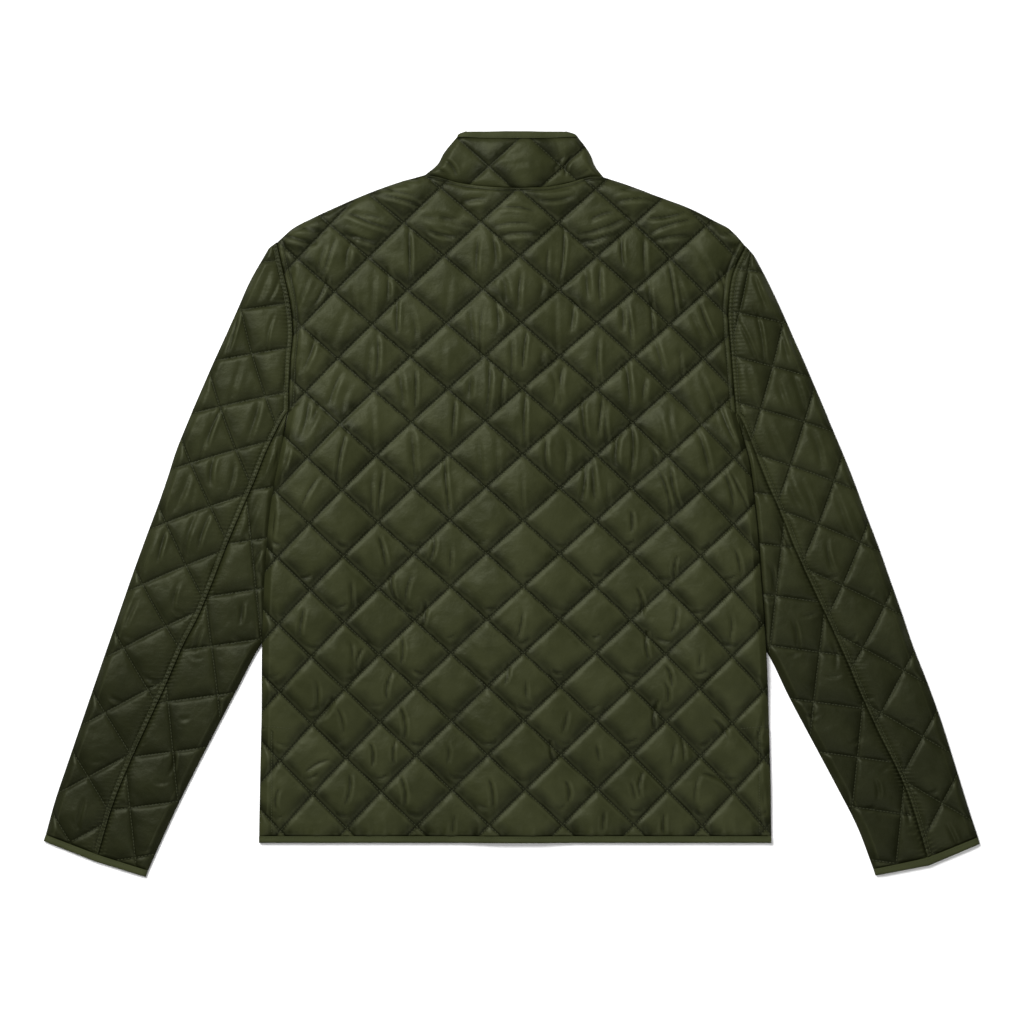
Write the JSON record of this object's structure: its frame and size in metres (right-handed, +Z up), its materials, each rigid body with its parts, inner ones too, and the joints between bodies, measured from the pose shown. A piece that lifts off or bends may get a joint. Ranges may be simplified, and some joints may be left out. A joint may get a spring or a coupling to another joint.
{
  "type": "quilted jacket",
  "caption": "Diamond-quilted jacket with a stand collar, laid flat face down with its back up, long sleeves beside it, bound hem and cuffs, side vents.",
  "frame": {"origin": "on the surface that the jacket lies on, under the middle of its box", "axes": "+X across the jacket from the wearer's left sleeve to the right one, +Y from the hem to the collar, +Z up from the surface, out of the jacket's back"},
  "size_m": [0.973, 0.775, 0.0129],
  "materials": {
    "shell": "deep olive quilted woven shell with a soft sheen",
    "binding": "olive woven binding, a little paler and duller than the shell",
    "stud": "aged brass press-stud caps"
  },
  "bodies": {
    "root": {"back": "shell", "left_front": "shell", "right_front": "shell", "left_top_sleeve": "shell", "left_under_sleeve": "shell", "right_top_sleeve": "shell", "right_under_sleeve": "shell", "collar": "shell", "collar_binding": "binding", "back_hem_binding": "binding", "left_front_hem_binding": "binding", "right_front_hem_binding": "binding", "left_cuff_binding": "binding", "right_cuff_binding": "binding", "front_stud_1": "stud", "front_stud_2": "stud", "front_stud_3": "stud", "front_stud_4": "stud", "front_stud_5": "stud"}
  },
  "joints": []
}
